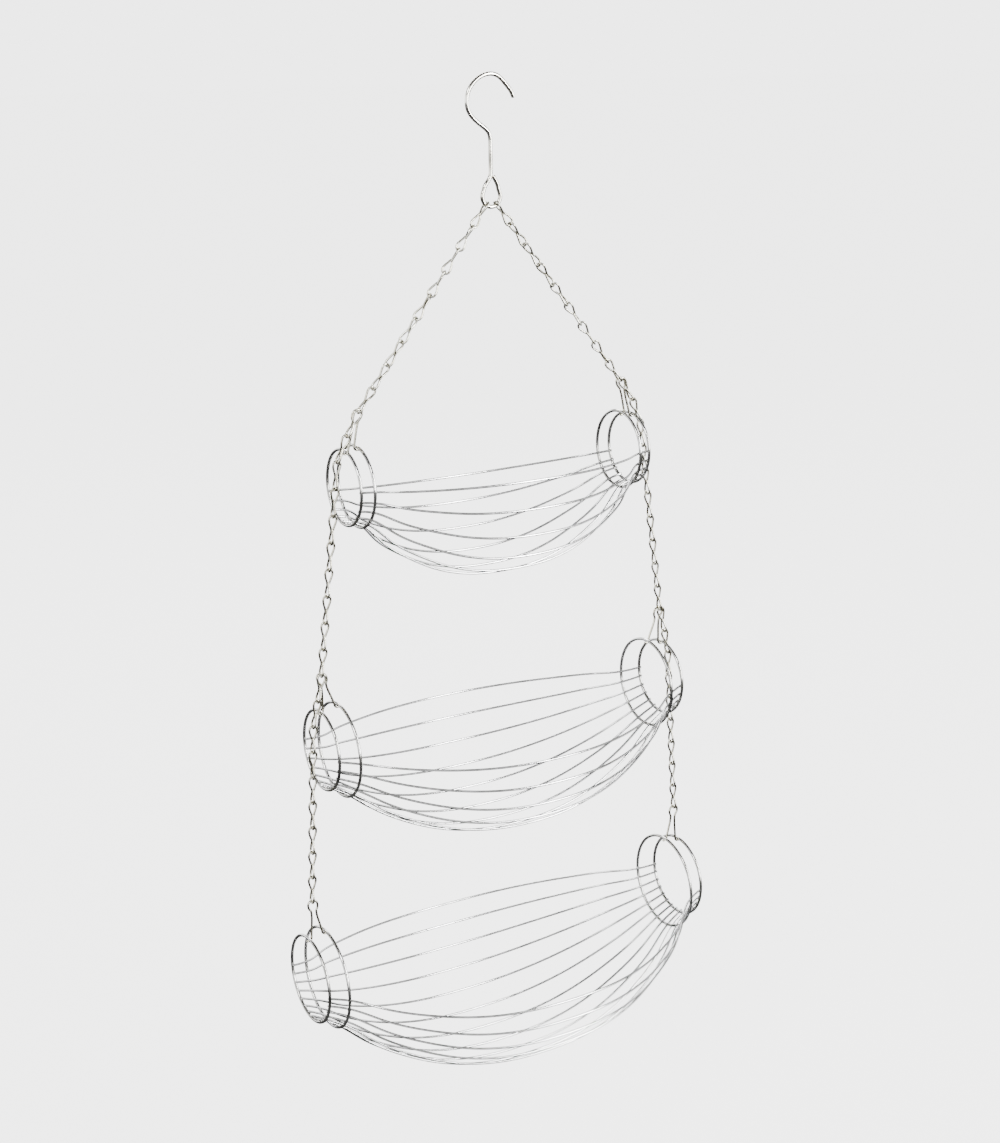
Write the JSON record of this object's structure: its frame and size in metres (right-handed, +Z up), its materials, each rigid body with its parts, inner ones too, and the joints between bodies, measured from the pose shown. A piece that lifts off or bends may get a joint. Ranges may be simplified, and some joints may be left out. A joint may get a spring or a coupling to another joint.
{
  "type": "three-tier hanging wire basket",
  "caption": "Hanging wire produce basket set: long open wire baskets in tiers, graded in size, on jack chains from one top hook.",
  "frame": {"origin": "saddle of the top hook, at its wire's inside, in the middle of the hanging plane", "axes": "+X along the baskets, to their right end seen from the front; +Y to the back; +Z up"},
  "size_m": [0.3834, 0.2198, 0.8474],
  "materials": {
    "hook_wire": "bright plated",
    "chain_wire": "bright plated",
    "bail_wire": "bright plated",
    "ring_wire": "bright plated",
    "rib_wire": "bright plated"
  },
  "bodies": {
    "hook": {"hook": "hook_wire"},
    "eye_links": {"upper_left_top_link": "chain_wire", "upper_right_top_link": "chain_wire"},
    "upper_chains": {"upper_left_chain": "chain_wire", "upper_right_chain": "chain_wire", "middle_left_hanger_link": "chain_wire", "middle_right_hanger_link": "chain_wire"},
    "top_bails": {"top_left_bail": "bail_wire", "top_right_bail": "bail_wire"},
    "top_basket": {"top_left_outer_ring": "ring_wire", "top_left_inner_ring": "ring_wire", "top_right_outer_ring": "ring_wire", "top_right_inner_ring": "ring_wire", "top_front_ribs": "rib_wire", "top_keel_rib": "rib_wire", "top_back_ribs": "rib_wire"},
    "middle_swing_links": {"middle_left_swing_link": "chain_wire", "middle_right_swing_link": "chain_wire"},
    "middle_left_chain": {"middle_left_chain": "chain_wire"},
    "middle_right_chain": {"middle_right_chain": "chain_wire"},
    "middle_bails": {"middle_left_bail": "bail_wire", "middle_right_bail": "bail_wire", "bottom_left_hanger_link": "chain_wire", "bottom_right_hanger_link": "chain_wire"},
    "middle_basket": {"middle_left_outer_ring": "ring_wire", "middle_left_inner_ring": "ring_wire", "middle_right_outer_ring": "ring_wire", "middle_right_inner_ring": "ring_wire", "middle_front_ribs": "rib_wire", "middle_keel_rib": "rib_wire", "middle_back_ribs": "rib_wire"},
    "bottom_swing_links": {"bottom_left_swing_link": "chain_wire", "bottom_right_swing_link": "chain_wire"},
    "bottom_left_chain": {"bottom_left_chain": "chain_wire"},
    "bottom_right_chain": {"bottom_right_chain": "chain_wire"},
    "bottom_bails": {"bottom_left_bail": "bail_wire", "bottom_right_bail": "bail_wire"},
    "bottom_basket": {"bottom_left_outer_ring": "ring_wire", "bottom_left_inner_ring": "ring_wire", "bottom_right_outer_ring": "ring_wire", "bottom_right_inner_ring": "ring_wire", "bottom_front_ribs": "rib_wire", "bottom_keel_rib": "rib_wire", "bottom_back_ribs": "rib_wire"}
  },
  "joints": [
    {"name": "side_swing", "type": "hinge", "parent": "hook", "child": "eye_links", "pos_m": [0, 0, -0.0929], "axis": [0, 1, 0], "range_deg": [-12, 12]},
    {"name": "fore_aft_swing", "type": "hinge", "parent": "eye_links", "child": "upper_chains", "pos_m": [0, 0, -0.11617], "axis": [1, 0, 0], "range_deg": [-15, 15]},
    {"name": "top_bail_swing", "type": "hinge", "parent": "upper_chains", "child": "top_bails", "pos_m": [0, 0.00115, -0.25183], "axis": [1, 0, 0], "range_deg": [-1, 10]},
    {"name": "top_basket_rock", "type": "hinge", "parent": "top_bails", "child": "top_basket", "pos_m": [0, 0.00115, -0.28285], "axis": [1, 0, 0], "range_deg": [-12, 12]},
    {"name": "middle_fore_aft_swing", "type": "hinge", "parent": "upper_chains", "child": "middle_swing_links", "pos_m": [0, -0.00115, -0.27087], "axis": [1, 0, 0], "range_deg": [-12, 12]},
    {"name": "middle_left_side_swing", "type": "hinge", "parent": "middle_swing_links", "child": "middle_left_chain", "pos_m": [-0.14592, 0, -0.2925], "axis": [0, 1, 0], "range_deg": [-4, 4]},
    {"name": "middle_right_side_swing", "type": "hinge", "parent": "middle_swing_links", "child": "middle_right_chain", "pos_m": [0.14592, 0, -0.2925], "axis": [0, 1, 0], "range_deg": [-4, 4]},
    {"name": "middle_level", "type": "hinge", "parent": "middle_left_chain", "child": "middle_bails", "pos_m": [-0.1676, 0, -0.46639], "axis": [0, 1, 0], "range_deg": [-4, 4]},
    {"name": "middle_basket_rock", "type": "hinge", "parent": "middle_bails", "child": "middle_basket", "pos_m": [0, 0.00115, -0.4943], "axis": [1, 0, 0], "range_deg": [-15, 15]},
    {"name": "bottom_fore_aft_swing", "type": "hinge", "parent": "middle_bails", "child": "bottom_swing_links", "pos_m": [0, -0.00115, -0.48538], "axis": [1, 0, 0], "range_deg": [-12, 12]},
    {"name": "bottom_left_side_swing", "type": "hinge", "parent": "bottom_swing_links", "child": "bottom_left_chain", "pos_m": [-0.17701, 0, -0.50859], "axis": [0, 1, 0], "range_deg": [-4, 4]},
    {"name": "bottom_right_side_swing", "type": "hinge", "parent": "bottom_swing_links", "child": "bottom_right_chain", "pos_m": [0.17701, 0, -0.50859], "axis": [0, 1, 0], "range_deg": [-4, 4]},
    {"name": "bottom_level", "type": "hinge", "parent": "bottom_left_chain", "child": "bottom_bails", "pos_m": [-0.18515, 0, -0.66169], "axis": [0, 1, 0], "range_deg": [-4, 4]},
    {"name": "bottom_basket_rock", "type": "hinge", "parent": "bottom_bails", "child": "bottom_basket", "pos_m": [0, 0, -0.69145], "axis": [1, 0, 0], "range_deg": [-15, 15]}
  ],
  "couplings": [
    {"joint": "middle_right_side_swing", "follows": "middle_left_side_swing", "ratio": 1},
    {"joint": "middle_level", "follows": "middle_left_side_swing", "ratio": -0.87062},
    {"joint": "bottom_right_side_swing", "follows": "bottom_left_side_swing", "ratio": 1},
    {"joint": "bottom_level", "follows": "bottom_left_side_swing", "ratio": -0.95605}
  ]
}
